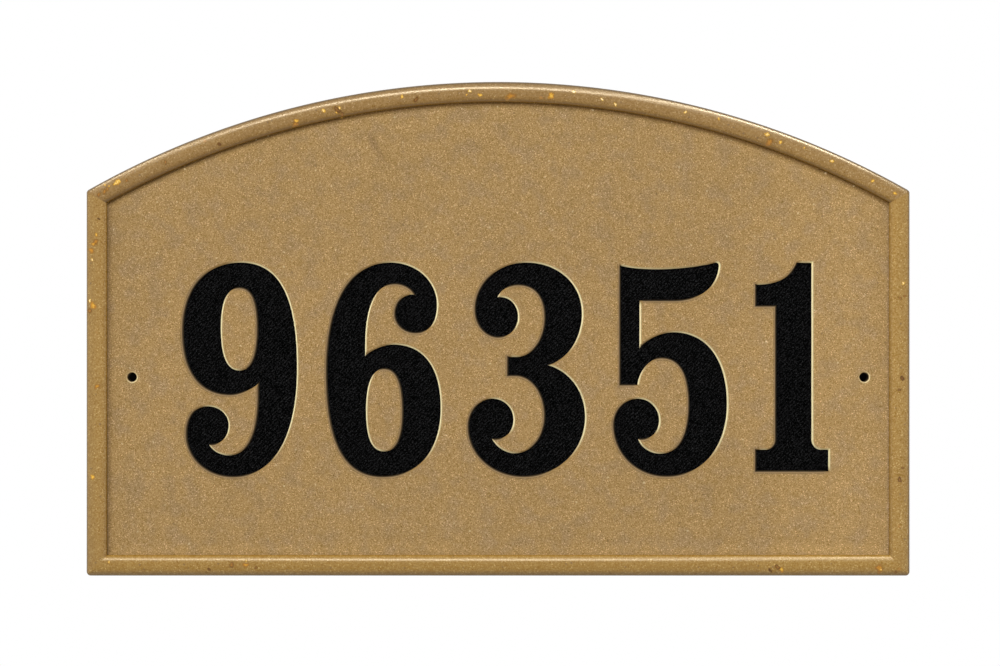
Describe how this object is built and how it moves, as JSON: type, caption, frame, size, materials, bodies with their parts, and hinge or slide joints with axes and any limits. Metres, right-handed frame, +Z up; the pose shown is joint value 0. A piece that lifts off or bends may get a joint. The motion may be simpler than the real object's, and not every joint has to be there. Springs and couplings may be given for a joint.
{
  "type": "house number plaque",
  "caption": "Wall-mounted cast stone address plaque with an arched top, rounded border bead, recessed field and black-filled figures cut into it, with screw holes.",
  "frame": {"origin": "midway between the centres of the two screw holes, on the flat back that lies on the wall", "axes": "+Z up, +X along the plaque's width, -Y out of the wall, so the front looks along -Y"},
  "size_m": [0.4, 0.0127, 0.24],
  "materials": {
    "stone": "sandblasted field, polished border bead",
    "black_fill": "matte, finely gritty"
  },
  "bodies": {
    "root": {"plaque": "stone", "fill_1": "black_fill", "fill_2": "black_fill", "fill_3": "black_fill", "fill_4": "black_fill", "fill_5": "black_fill"}
  },
  "joints": []
}
